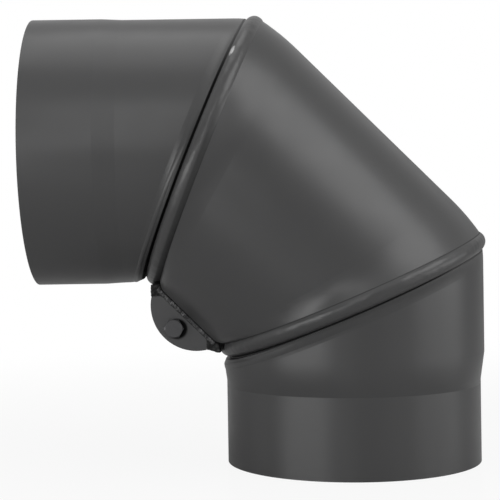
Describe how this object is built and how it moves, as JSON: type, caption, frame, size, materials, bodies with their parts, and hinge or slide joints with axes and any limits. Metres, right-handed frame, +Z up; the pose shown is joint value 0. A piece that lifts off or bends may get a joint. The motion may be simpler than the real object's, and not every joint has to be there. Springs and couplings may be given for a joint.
{
  "type": "adjustable stove pipe elbow",
  "caption": "Stove pipe elbow set to a right angle: a socket tube and a spigot tube turn on slanting rings at each end of a wide middle gore, with a small bolted sweep hatch.",
  "frame": {"origin": "centre of the lower spigot's rim", "axes": "+Z up the axis of the spigot tube, -X out of the mouth of the socket tube, and Y across the fold, with the bolt's head at -Y"},
  "size_m": [0.2622, 0.169, 0.2618],
  "materials": {
    "grey_paint": "matt to satin dark grey heat-resistant paint on 2 mm steel sheet",
    "weld_metal": "weld bead under the same dark grey paint, rough",
    "bolt_finish": "satin dark grey paint over a steel bolt",
    "bare_steel": "plain mild steel tube, hidden in the hatch"
  },
  "bodies": {
    "outlet": {"outlet_segment": "grey_paint"},
    "gore": {"middle_gore": "grey_paint", "hatch_cheek_near": "grey_paint", "hatch_cheek_far": "grey_paint", "hatch_lid": "grey_paint", "hatch_sleeve": "bare_steel", "hatch_bolt": "bolt_finish", "hatch_nut": "bolt_finish", "hatch_weld_near": "weld_metal", "hatch_weld_far": "weld_metal"},
    "inlet": {"inlet_segment": "grey_paint"}
  },
  "joints": [
    {"name": "lower_swivel", "type": "hinge", "parent": "outlet", "child": "gore", "pos_m": [0, 0, 0.0975], "axis": [-0.3827, 0, 0.9239], "continuous": true},
    {"name": "upper_swivel", "type": "hinge", "parent": "gore", "child": "inlet", "pos_m": [-0.08611, 0, 0.18361], "axis": [-0.9239, 0, 0.3827], "continuous": true}
  ]
}
